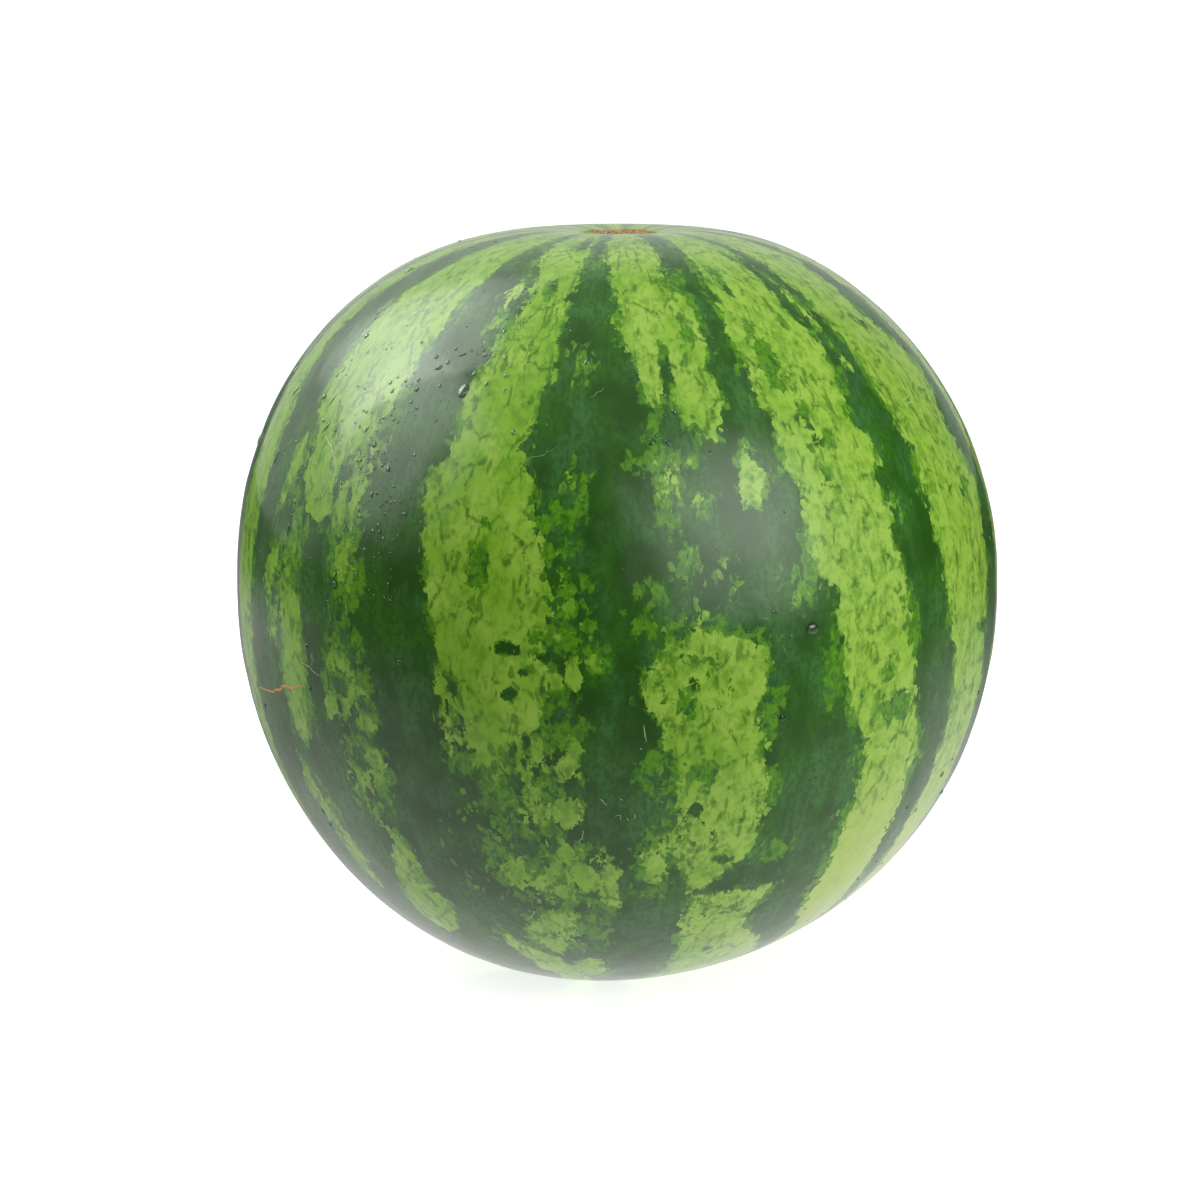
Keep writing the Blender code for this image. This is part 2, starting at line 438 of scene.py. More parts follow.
darkNotches = [
    (-15, 56, 1.2, 2.6), (-14, 71, 2.8, 4.2), (9.6, 39.5, 1.2, 5.2), (9.4, 32, 1.7, 4),
    (29.2, 56, 1.2, 4.4), (10.6, -5, 0.8, 2.2), (-15, -6.5, 1.4, 1.4), (9.3, -1.3, 0.7, 1.3),
    (6.6, -6.6, 0.6, 1.2), (41, 64, 1.1, 2), (38, 48, 0.9, 2), (-12.5, -3.5, 1.2, 1.0),
    (-23.7, -6.2, 1.3, 2.4), (-14.8, -0.4, 2.2, 1.4), (-8.7, -1, 2.2, 2.0), (63, 45, 1.3, 0.9),
    (61, 47, 0.9, 1.1), (69, -3, 2.4, 1), (12, -24, 1.2, 1.2), (24, -38.5, 3.4, 1.6),
    (17.5, -33, 2.0, 1.2), (-16.5, 57, 0.8, 2.2), (30.5, 5.5, 2.4, 2.2), (9.5, 11, 0.6, 0.6),
]
midSpots = [
    (-5.4, 21.5, 1.8, 3.4), (-8.8, 15.2, 2.4, 4.0), (-4.6, 8.4, 1.2, 1.2), (-6, 4.5, 3, 3.4),
    (4.5, 5, 2.2, 4), (6, -18, 3, 3.2), (22.2, -7.6, 2.0, 2.2), (21.2, -12.6, 1.7, 3.0),
    (25, -32, 4.2, 1.8), (5, -32, 2.6, 5), (-13, -23, 7, 6), (-15.5, -17, 5, 3), (-8, -12, 4, 2),
    (-3, -47, 2.6, 4.4), (-2.5, -41, 2.6, 3.6), (-19, -33, 2.4, 4), (-42, -1.5, 3.4, 3),
    (-41.5, -8, 5.2, 4), (-40.5, -21, 4.4, 6), (-42, 8, 3.4, 5), (-54, 12, 2.2, 5), (-58, 21, 2.6, 4),
    (36, -1, 3, 4.5), (33, 2, 1.8, 2.6), (15.5, 57.5, 3.4, 3), (6.6, 31, 1.3, 3.6), (24.5, 44, 1.2, 6),
    (24.6, 62, 1.2, 4), (-59, 1, 2.2, 5), (-55.5, 9, 3.6, 3), (15.8, 10.9, 0.9, 1.2),
    (9.5, 12, 1.0, 1.8), (27, 8.0, 1.6, 2.4), (39, -17, 1.4, 3), (18, 0.8, 3.4, 1.6),
    (41.5, -26, 1.1, 3.4), (-5.0, 40, 1.2, 2), (-38.5, 31, 1.4, 5), (31.8, -4.5, 1.8, 4.2),
]
midPatches = [  # mid green that lies in a pale band
    (29.3, 41.5, 2.3, 4.6), (45, -11.5, 3.4, 2.4), (32.2, 31.5, 1.1, 1.7), (33.4, 21.5, 0.9, 1.9),
    (33.6, 27.6, 1.8, 0.7), (-8.4, -6.6, 2.2, 1.2), (14.5, 45.8, 0.6, 2), (41.6, -6.3, 1.0, 1.2),
    (12.4, -3.0, 1.2, 1.5), (9.4, -7.8, 1.5, 1.7), (12.8, -18.5, 1.8, 1.6), (66, 17.5, 1.1, 1.5),
    (19.5, -26, 1.1, 0.9), (7.6, 21.4, 1.8, 4.6), (-19.7, 11, 1.5, 4.4), (-23, -16.8, 3.0, 2.4),
    (-23.2, -11.0, 1.4, 2.6),
]
# zones where the pattern breaks into crumbs, as oval marks with one more number: it is below 0 where
# pale crumbs lie on dark ground and above 0 where a pale part is broken up, and the higher it is,
# the more of the zone is pale
brokenZones = [
    (-42, 7, 4.6, 10.5, -4.6), (-42, -7, 6, 8.5, -4.2), (-41.5, -24, 6, 10, -4.4),
    (-7, 5, 4.5, 11, -3.0), (-6.5, 23, 3.6, 5.0, -3.4), (-12, -20, 8.5, 9, -1.6),
    (-8, -36, 10, 8.5, -1.6), (-12, -50, 9, 8, -1.4), (7.6, 21.5, 2.4, 5.0, -5.4),
    (13, 8.5, 6, 6.5, -7.4), (8, 4.5, 4.6, 5.5, -4.0), (26, 7, 5, 5, -6.0), (-24, -32, 7, 12, -5.4),
    (-58, 6, 5.5, 8, -3.2), (-54, 12, 3.6, 6, -3.4), (14, 31, 4.4, 3, -3.0), (21, -44, 7, 5, 0.6),
    (-6, 41, 3.6, 6, -5.0), (-56, -32, 3.6, 12, -3.0), (46, 17, 3.4, 5, -3.4), (-43, 20, 3.2, 6, -6.6),
    (11, -6, 8, 8, 2.6), (7, -20, 4, 5, 1.2), (12, -29, 8, 5, 2.4), (-9.5, 0, 4.6, 6, 1.4),
    (-24.5, -8, 2.8, 6, 0.8), (26, -56, 7, 5, 2.0), (-14, 27, 3, 5, 1.6), (41, 12, 3, 8, 2.0),
    (38, -26, 3, 8, 2.4), (20.5, -1.2, 3.6, 3.0, 0.4),
]
# dark stripes that the photo doesn't show: middle and half width
hiddenStripes = [
    (101, 5.6), (128, 6.8), (155, 5.0), (181, 7.2), (207, 5.6), (231, 6.6), (255, 5.2), (279, 4.6),
]
hiddenLook = {
    "seed": 27,
    "drift": -0.09,  # how far stripes wander to the east for each degree further down
    "waver": 1.6,
    "eastSeam": 77.5,  # where the pattern that the photo shows ends
    "westSeam": 285.0,  # and where it begins again
    "settling": 40.0,  # how far before the west seam the stripes begin to run straight
    "levelStep": 6,
    "brokenZones": 15,
    "spots": 26,  # of each kind
}


def hiddenPattern():
    # the same kind of bands, spots and broken zones for the side that the photo doesn't show
    draw = np.random.default_rng(hiddenLook["seed"])
    phases = draw.uniform(0.0, math.tau, (len(hiddenStripes), 3))

    def edge(number, side, latitude):
        middle, half = hiddenStripes[number]
        one, two, three = phases[number]
        ease = min(1.0, (hiddenLook["westSeam"] - middle) / hiddenLook["settling"])
        middle += hiddenLook["drift"] * latitude * ease
        middle += hiddenLook["waver"] * ease * math.sin(latitude / 19.0 + one)
        swell, ripple = math.sin(latitude / 11.0 + two), math.sin(latitude / 5.0 + three * side)
        half *= 1.0 + 0.28 * swell + 0.16 * ripple
        return middle + side * half

    bands = {}
    for number in range(len(hiddenStripes)):
        rows = []
        for latitude in range(90, -91, -hiddenLook["levelStep"]):
            if number:
                west = edge(number - 1, 1, latitude)
            else:
                west = hiddenLook["eastSeam"] - 0.03 * min(latitude, 0)
            rows.append((latitude, west, edge(number, -1, latitude)))
        bands["hidden%d" % number] = rows
    zones = []
    for number in range(hiddenLook["brokenZones"]):
        share = draw.uniform(-2.8, -1.2) if number % 2 else draw.uniform(-5.0, -3.2)
        oval = (draw.uniform(98, 268), draw.uniform(-62, 45), draw.uniform(4, 8), draw.uniform(6, 12))
        zones.append((*oval, share))
    spots = {"pale": [], "notch": [], "patch": [], "mid": []}
    kinds = list(spots)
    for number in range(hiddenLook["spots"] * len(kinds)):
        half = draw.uniform(0.8, 2.8)
        middle, level = draw.uniform(95, 272), draw.uniform(-60, 62)
        spots[kinds[number % len(kinds)]].append((middle, level, half, half * draw.uniform(0.8, 1.8)))
    return bands, zones, spots


patternDepth = {  # in millimetres from the edge of a mark
    "upDegree": 2.2,  # along the rind for each degree of latitude
    "deepest": 18.0,
    "zoneEdge": 5.0,  # how far in a broken zone has its full strength
    "zoneFall": 9.0,
    "notchSteepness": 2.2,
    "midSpot": 0.9,  # mid green spots are no deeper, so they break into crumbs
}


def patternFields(longitude, latitude, radius):
    # depth inside the pale and the mid green parts, and how broken the pattern is, for each point
    bands, zones, spots = hiddenPattern()
    bands.update(paleBands)
    upDegree, deepest = patternDepth["upDegree"], patternDepth["deepest"]
    perDegree = np.maximum(radius, 2.0) * math.pi / 180.0

    def within(oval):  # how far inside it each point lies
        middle, level, halfWide, halfHigh = oval[:4]
        apart = (longitude - middle + 180.0) % 360.0 - 180.0
        out = np.hypot(apart / halfWide, (latitude - level) / halfHigh)
        return (1.0 - out) * np.minimum(halfWide * perDegree, halfHigh * upDegree)

    pale = np.full(len(longitude), -deepest)
    for rows in bands.values():
        levels, wests, easts = (np.array(part, dtype=float) for part in zip(*rows[::-1]))
        middle = (wests.mean() + easts.mean()) / 2.0
        apart = (longitude - middle + 180.0) % 360.0 - 180.0 + middle
        west = np.interp(latitude, levels, wests)
        east = np.interp(latitude, levels, easts)
        depth = np.minimum(apart - west, east - apart) * perDegree
        if levels[-1] < 90:
            depth = np.minimum(depth, (levels[-1] - latitude) * upDegree)
        if levels[0] > -90:
            depth = np.minimum(depth, (latitude - levels[0]) * upDegree)
        pale = np.maximum(pale, depth)
    for spot in paleSpots + spots["pale"]:
        pale = np.maximum(pale, within(spot))
    broken = np.zeros(len(longitude))
    for zone in brokenZones + zones:
        inside = np.clip(within(zone) / patternDepth["zoneEdge"], 0.0, 1.0)
        level = abs(zone[4]) + patternDepth["zoneFall"] * (1.0 - inside)
        if zone[4] < 0.0:
            pale = np.maximum(pale, np.where(inside > 0.0, -level, -deepest))
        else:
            pale = np.minimum(pale, np.where(inside > 0.0, level, deepest))
        broken = np.maximum(broken, inside)
    for spot in darkNotches + spots["notch"]:
        pale = np.minimum(pale, -patternDepth["notchSteepness"] * within(spot))
    mid = np.full(len(longitude), -deepest)
    for spot in midSpots + spots["mid"]:
        mid = np.maximum(mid, within(spot))
    mid = np.minimum(mid, patternDepth["midSpot"])
    for spot in midPatches + spots["patch"]:
        pale = np.minimum(pale, -within(spot))
        mid = np.maximum(mid, within(spot))
    return {"paleDepth": np.clip(pale, -deepest, deepest), "midDepth": mid, "broken": broken}


rindLook = {
    "pale": "7ba82c", "paleWarm": "91b543", "paleDeep": "5c8e1e",
    "vein": "38650f", "mid": "548914", "midDeep": "3c7011",
    "dark": "2e6111", "darkDeep": "20480a", "darkCool": "3f703b",
    "lowYellow": "aebf62", "cork": "b99468", "corkDark": "7d5c46", "corkPale": "e2d2a6",
    "roughness": 0.36, "sheen": 0.29, "coat": 0.60, "coatRoughness": 0.11, "bump": 0.35,
    "mottle": 0.85, "veins": 0.85, "dashes": 0.62,  # how strongly they show in the pale ground
    "lowYellowShare": 0.75,  # a yellower patch on the pale parts, low on the front right
    "lowYellowPlace": (78.0, -62.0, 42.0),
    "lowYellowReach": (12.0, 62.0),
    "crownCork": (1.3, 10.4),  # middle and radius
    "baseCork": (-5.8, 6.4),
    "paleRim": 0.4,
}
rindGrain = {  # sizes of what noise and cells draw, in millimetres
    "warp": 4.5,
    "edges": 7.0,
    "crumbs": 3.8,
    "chips": 1.7,
    "speckle": 1.5,
    "net": 11.0,
    "dashes": 2.6,
    "streaks": 1.7,
}


def rindMaterial():
    material = bpy.data.materials.new("stripedRind")
    plan = clearedPlan(material)
    colour = {name: tint(code) for name, code in rindLook.items() if isinstance(code, str)}
    place = plan.add("ShaderNodeTexCoord", {}, {}, "Object") * toMillimetres
    pale, mid, broken = (
        plan.add("ShaderNodeAttribute", {"attribute_name": name}, {}, "Fac")
        for name in ("paleDepth", "midDepth", "broken")
    )
    tones = plan.parts(plan.add("ShaderNodeAttribute", {"attribute_name": "tones"}, {}, "Vector"))
    # spots and lumps are drawn out from end to end, also over the crown and the base
    parts = plan.parts(place)
    sideways = plan.sum("MULTIPLY", place, (1.0, 1.0, 0.0))
    flat = plan.length(sideways)
    narrow = (plan.larger(flat, 4.0) / 115.0) ** -0.42
    stretch = plan.place(parts * narrow, parts.also("Y") * narrow, parts.also("Z") * 0.72)
    warp = plan.noise(stretch, rindGrain["warp"], 1.0, 0.5, 1) - (0.5, 0.5, 0.5)
    bent = stretch + warp * 2.4
    coarse = plan.noise(bent, rindGrain["edges"], 4.0, 0.70) - 0.5
    other = plan.noise(bent + (31.0, 17.0, 5.0), rindGrain["crumbs"], 3.0, 0.62) - 0.5
    chips = plan.add("ShaderNodeSeparateColor", {}, {0: plan.cells(bent, rindGrain["chips"], out="Color")})
    chip, otherChip, thirdChip = chips - 0.5, chips.also("Green") - 0.5, chips.also("Blue") - 0.5
    speckle = plan.noise(stretch, rindGrain["speckle"], 2.0, 0.65)

    # where the rind is pale, and where it is mid green
    reach = (1.0 + broken * 0.9) * plan.rise(flat, -20.0, 85.0)
    paleHere = plan.rise(pale + (coarse * 13.0 + chip * 2.0 + other * broken * 9.0) * reach, -0.4, 0.4)
    fringe = plan.smaller(plan.larger((tones - 0.5) * 24.0 + 0.3, 0.0), 2.8) + broken
    midEdge = plan.larger(pale + fringe, mid) + other * 15.0 * reach + otherChip * 2.6
    midHere = plan.rise(midEdge, -1.1, 1.1)

    # pale ground with its net of veins and its crumbs of darker green
    toneAndSideLight = tones.also("Y") + parts * 0.0018  # tones that differ at random, plus painted light: lighter and yellower towards the right side, darker towards the left
    ground = plan.mix(plan.rise(toneAndSideLight, 0.36, 0.62), colour["pale"], colour["paleWarm"])
    mottle = plan.rise(other + (speckle - 0.5) * 0.5, -0.14, 0.24)
    ground = plan.mix(mottle * rindLook["mottle"], ground, colour["paleDeep"])
    strength = plan.rise(tones.also("Z") + other * 0.8, 0.38, 0.60) * 0.85 + 0.15
    net = plan.cells(bent + warp * 3.0, rindGrain["net"], "DISTANCE_TO_EDGE")
    veins = (1.0 - plan.rise(net, 0.0, 0.09)) * strength * plan.rise(speckle, 0.36, 0.56)
    # short dashes that run from end to end
    spread = plan.add("ShaderNodeVectorMath", {"operation": "NORMALIZE"}, {0: sideways}) * 120.0
    drawn = spread + plan.sum("MULTIPLY", place, (0.0, 0.0, 0.34)) + warp * 2.2
    drawn = plan.noise(drawn, rindGrain["dashes"], 1.0, 0.5)
    dashes = plan.rise(drawn + other * 0.16, 0.63, 0.70)
    marks = plan.larger(veins * rindLook["veins"], dashes * rindLook["dashes"])
    ground = plan.mix(marks, ground, colour["vein"])

    # dark ground with faint streaks
    streak = spread + plan.sum("MULTIPLY", place, (0.0, 0.0, 0.16)) + warp
    streak = plan.noise(streak, rindGrain["streaks"], 1.0, 0.6)
    shade = plan.mix(plan.rise(tones.also("Y"), 0.34, 0.64), colour["dark"], colour["darkDeep"])
    cool = plan.rise(tones.also("Z") - coarse * 0.6, 0.42, 0.66) * 0.55
    shade = plan.mix(cool, shade, colour["darkCool"])
    shade = plan.mix(plan.rise(speckle * 0.7 + streak * 0.3, 0.45, 0.58) * 0.6, shade, colour["darkDeep"])
    lines = (1.0 - plan.rise(abs(drawn - 0.5), 0.0, 0.035)) * plan.rise(tones.also("Y"), 0.40, 0.60)
    shade = plan.mix(lines * 0.5, shade, colour["darkDeep"])
    middle = plan.mix(plan.rise(speckle + thirdChip * 0.2, 0.40, 0.62), colour["mid"], colour["midDeep"])

    skin = plan.mix(midHere, shade, middle)
    specks = plan.rise(thirdChip + coarse * 0.6, 0.40, 0.50) * plan.rise(broken, 0.05, 0.4) * 0.6
    skin = plan.mix(plan.larger(paleHere, specks), skin, ground)

    toPatch = plan.length(place - rindLook["lowYellowPlace"])
    lowYellowHere = (1.0 - plan.rise(toPatch, *rindLook["lowYellowReach"])) * rindLook["lowYellowShare"]
    skin = plan.mix(lowYellowHere * paleHere, skin, colour["lowYellow"])

    # corky scars at both ends
    fromCrown, fromBase = (
        plan.length(plan.sum("MULTIPLY", place - (middle, 0.0, 0.0), (1.0, 1.0, 0.0)))
        for middle in (rindLook["crownCork"][0], rindLook["baseCork"][0])
    )
    top = plan.rise(parts.also("Z"), 120.0, 130.0)
    crownEdge, baseEdge = rindLook["crownCork"][1], rindLook["baseCork"][1]
    crownCork = 1.0 - plan.rise(fromCrown + (speckle - 0.5) * 16.0, crownEdge, crownEdge + 1.0)
    baseCork = 1.0 - plan.rise(fromBase + (speckle - 0.5) * 4.0, baseEdge, baseEdge + 0.8)
    cork = plan.larger(crownCork * top, baseCork * (1.0 - top))
    bark = plan.mix(plan.rise(speckle, 0.40, 0.60), colour["corkDark"], colour["cork"])
    bark = plan.mix(plan.rise(speckle, 0.56, 0.70), bark, colour["corkPale"])
    rim = 1.0 - plan.rise(plan.smaller(fromCrown, fromBase + top * 900.0), 11.0, 34.0)
    skin = plan.mix(rim * rindLook["paleRim"], skin, colour["paleWarm"])
    skin = plan.mix(cork, skin, bark)

    values = {"Strength": rindLook["bump"], "Distance": 0.0002, "Height": speckle}
    values = {
        "Base Color": skin,
        "Roughness": rindLook["roughness"] + (speckle - 0.5) * 0.12 + cork * 0.4,
        "Normal": plan.add("ShaderNodeBump", {}, values, "Normal"),
        "Specular IOR Level": rindLook["sheen"],
        "Coat Weight": (1.0 - cork) * rindLook["coat"],
        "Coat Roughness": rindLook["coatRoughness"],
    }
    surface = plan.add("ShaderNodeBsdfPrincipled", {}, values)
    plan.add("ShaderNodeOutputMaterial", {}, {"Surface": surface})
    return material


def pointPlaces(mesh):
    places = np.empty(len(mesh.vertices) * 3)
    mesh.vertices.foreach_get("co", places)
    return places.reshape(-1, 3)


def pointValues(mesh, name):
    values = np.empty(len(mesh.vertices))
    mesh.attributes[name].data.foreach_get("value", values)
    return values


def makeMelon():
    start = emptyStart("melonStart")
    newNodeModifier("melonForm", start, melonForm, drawMelon)
    melon = madePlain("melonRind", start)
    mesh = melon.data
    places = pointPlaces(mesh)
    low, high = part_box("melon")
    grow = (high.z - low.z) / (places[:, 2].max() - places[:, 2].min())  # the frame decides the size
    mesh.transform(Matrix.Scale(grow, 4))
    radius = np.hypot(places[:, 0], places[:, 1]) * toMillimetres
    fields = patternFields(pointValues(mesh, "longitude"), pointValues(mesh, "latitude"), radius)
    for name, values in fields.items():
        layer = mesh.attributes.new(name, "FLOAT", "POINT")
        layer.data.foreach_set("value", values.astype(np.float32))
    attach(melon, "root")
    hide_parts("melon")
    print("melon:", len(places), "points")
    return melon


class Rind:  # finds places on the finished fruit
    def __init__(self, mesh):
        self.longitude = pointValues(mesh, "longitude")
        self.latitude = pointValues(mesh, "latitude")
        self.places = pointPlaces(mesh)
        polygons = [tuple(polygon.vertices) for polygon in mesh.polygons]
        self.tree = BVHTree.FromPolygons([tuple(place) for place in self.places], polygons)

    def spot(self, longitude, latitude, lift):  # place and outward direction; lift in millimetres
        apart = (self.longitude - longitude + 180.0) % 360.0 - 180.0
        off = np.hypot(apart * math.cos(math.radians(latitude)), self.latitude - latitude)
        nearest = np.argpartition(off, 6)[:6]
        weight = 1.0 / (off[nearest] + 0.05) ** 2
        guess = (self.places[nearest] * weight[:, None]).sum(axis=0) / weight.sum()
        place, outward, _, _ = self.tree.find_nearest(Vector(guess))
        return place + outward * lift * toMetres, outward

    def downhill(self, outward):
        down = Vector((0.0, 0.0, -1.0))
        along = down - outward * down.dot(outward)
        return along.normalized() if along.length > 1e-4 else outward.orthogonal().normalized()


melon = makeMelon()
rind = Rind(melon.data)


# Water

waterLook = {
    "seed": 11,
    "wetShadeTint": (0.50, 0.66, 0.42, 1.0),  # painted shade: the water is tinted dark green, so the rind under a drop looks darker where its sheen is lost
    "ior": 1.33,
    "rise": 0.5,  # how high a bead stands, as a share of its half width
    "smallRise": 1.2,  # beads narrower than smallWidth stand this much higher
    "smallWidth": 1.5,
    "sunk": 0.06,  # how deep its middle sits in the rind, as a share of its half width
    "slip": 0.64,  # how far the outlines of the beads wander, in millimetres
    "slipSize": 2.6,
    "beadWidth": (0.5, 0.28, 1.7),  # the least, what most add to it, and the most
    "beadLength": (1.35, 2.1),  # the most, as a share of the width and in millimetres
    "beadTurn": 25,
    "beadLevels": (-62.0, 78.0),  # latitudes between which the small beads lie
    "beadSegments": 12,
    "beadRings": 8,
    "dropSegments": 28,
    "dropRings": 18,
}
# drops seen one by one: longitude, latitude, width and length in millimetres, turn in degrees
bigDrops = [
    (-26.1, 35.8, 3.4, 5.0, -14), (-32.8, 39.0, 1.5, 2.6, -50), (-25.0, 38.6, 1.4, 2.4, -30),
    (-22.0, 37.0, 1.3, 1.9, -20), (-24.0, 42.0, 1.1, 2.2, -50), (-29.0, 41.5, 1.0, 2.6, -60),
    (-20.0, 41.5, 1.2, 1.5, 0), (-18.5, 36.0, 1.2, 1.4, 0), (-12.0, 41.0, 1.0, 1.0, 0),
    (-10.5, 31.0, 1.0, 1.2, 0), (10.0, 33.0, 1.7, 1.7, 0), (13.0, 32.0, 1.3, 2.2, 30),
    (5.9, 28.6, 2.3, 2.5, 0), (8.5, 28.5, 1.2, 2.6, 40), (27.9, 1.7, 4.4, 3.8, 20),
    (23.8, -10.7, 2.1, 2.1, 0), (22.0, 4.5, 0.9, 2.4, 50), (-58.5, 32.5, 1.9, 2.4, 0),
    (-57.0, 37.0, 1.1, 2.2, 0), (-55.4, 32.0, 0.9, 5.5, -20), (-53.6, 27.8, 1.1, 4.6, -30),
    (-55.0, 29.0, 1.2, 1.8, 0), (-56.5, 16.5, 1.6, 2.0, 0), (-66.5, 22.0, 1.2, 5.0, -8),
    (-68.0, -15.5, 1.6, 2.2, 0), (-59.0, -31.0, 1.5, 2.0, 0), (-59.0, -33.4, 1.3, 1.6, 0),
    (-50.5, -3.5, 1.4, 1.8, 0), (-50.5, -10.0, 1.4, 2.4, 0), (-82.0, 22.7, 2.8, 4.4, 0),
    (-80.0, 34.5, 2.0, 4.2, 0), (-73.0, 57.0, 2.2, 3.4, 0), (61.0, -31.0, 1.6, 2.0, 0),
    (66.0, -26.0, 1.8, 2.2, 0), (-42.0, 36.0, 1.3, 1.5, 0), (72.0, -14.0, 1.6, 1.8, 0),
    (140.0, 30.0, 2.6, 3.6, 0), (205.0, 12.0, 2.2, 3.0, 0), (176.0, 44.0, 3.0, 4.4, 10),
    (248.0, 38.0, 2.4, 3.2, 0), (118.0, 8.0, 1.8, 2.2, 0), (226.0, -18.0, 2.0, 2.4, 0),
    (-70.8, 32.0, 1.6, 3.6, -10), (-56.8, 12.2, 1.3, 4.6, 0),
]
# where small beads gather: longitude, latitude, spreads in degrees, how many
beadGroups = [
    (-43, 27, 4.5, 6, 50), (-37, 16, 4, 7, 150), (-24, 41, 6, 4, 30), (-17, 50, 5, 6, 22),
    (-35, 37, 7, 4, 26), (10, 31, 4, 2.5, 14), (-57, 20, 5, 12, 26), (-50, -6, 6, 8, 16),
    (27, 2, 8, 8, 16), (58, -32, 8, 10, 24), (0, 0, 40, 30, 46), (-62, 45, 10, 10, 20),
    (60, 30, 16, 24, 18), (180, 20, 45, 28, 70), (225, 35, 20, 12, 30),
]


water = plainMaterial("clearWater", {
    # painted shade: this tint darkens the rind seen through each drop
    "Base Color": waterLook["wetShadeTint"],
    "Roughness": 0.03,
    "Specular IOR Level": 1.0,
    "IOR": waterLook["ior"],
    "Transmission Weight": 1.0,
    "Coat Weight": 1.0,  # mirrors the lamps a little more
    "Coat Roughness": 0.02,
    "Coat IOR": 1.6,
})


def drawBeads(plan, given, size):
    # one round bead on each point, turned and stretched by what the point carries
    turn, stretch = (
        plan.add("GeometryNodeInputNamedAttribute", {"data_type": "FLOAT_VECTOR"}, {"Name": name})
        for name in ("turn", "stretch")
    )
    turn = plan.add("FunctionNodeEulerToRotation", {}, {0: turn})
    ball = plan.add("GeometryNodeMeshUVSphere", {}, {"Segments": size["segments"], "Rings": size["rings"]})
    values = {"Points": given, "Instance": ball, "Rotation": turn, "Scale": stretch}
    beads = plan.add("GeometryNodeInstanceOnPoints", {}, values)
    beads = plan.add("GeometryNodeRealizeInstances", {}, {0: beads})
    place = plan.add("GeometryNodeInputPosition", {}, {}) * toMillimetres
    shove = plan.noise(place, size["slipSize"], 1.0, 0.5, 1) - (0.5, 0.5, 0.5)
    shove = shove * (size["slip"] * toMetres)
    beads = plan.add("GeometryNodeSetPosition", {}, {"Geometry": beads, "Offset": shove})
    return plan.finished(beads, water)


def makeBeads(name, beads, segments, rings):
    # beads: longitude, latitude, width, length, turn
    places, turns, stretches = [], [], []
    for longitude, latitude, width, length, turn in beads:
        place, outward = rind.spot(longitude, latitude, -waterLook["sunk"] * width / 2.0)
        along = Matrix.Rotation(math.radians(turn), 3, outward) @ rind.downhill(outward)
        side = along.cross(outward)
        turns.append(Matrix((side, along, outward)).transposed().to_euler())
        places.append(place)
        rise = waterLook["rise"] * width
        rise *= 1.0 if width > waterLook["smallWidth"] else waterLook["smallRise"]
        stretches.append([whole * toMetres / 2.0 for whole in (width, length, rise)])
    start = emptyStart(name + "Start", places)
    for label, values in {"turn": turns, "stretch": stretches}.items():
        layer = start.data.attributes.new(label, "FLOAT_VECTOR", "POINT")
        layer.data.foreach_set("vector", [part for value in values for part in value])
    sizes = {"segments": segments, "rings": rings}
    sizes.update({"slip": waterLook["slip"], "slipSize": waterLook["slipSize"]})
    newNodeModifier(name + "Form", start, sizes, drawBeads)
    piece = madePlain(name, start)
    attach(piece, "root")
    print(name + ":", len(beads), "drops")


def scatteredBeads():
    draw = np.random.default_rng(waterLook["seed"])
    least, usual, most = waterLook["beadWidth"]
    stretch, longest = waterLook["beadLength"]
    lowest, highest = waterLook["beadLevels"]
    beads = []
    for longitude, latitude, spreadAcross, spreadUp, count in beadGroups:
        for _ in range(count):
            width = least + draw.exponential(usual)
            spot = (draw.normal(longitude, spreadAcross), draw.normal(latitude, spreadUp))
            length = width * draw.uniform(1.0, stretch)
            if lowest < spot[1] < highest:
                turn = draw.uniform(-waterLook["beadTurn"], waterLook["beadTurn"])
                beads.append((*spot, min(width, most), min(length, longest), turn))
    return beads


makeBeads("largeDrops", bigDrops, waterLook["dropSegments"], waterLook["dropRings"])
makeBeads("smallBeads", scatteredBeads(), waterLook["beadSegments"], waterLook["beadRings"])


# Healed scratches

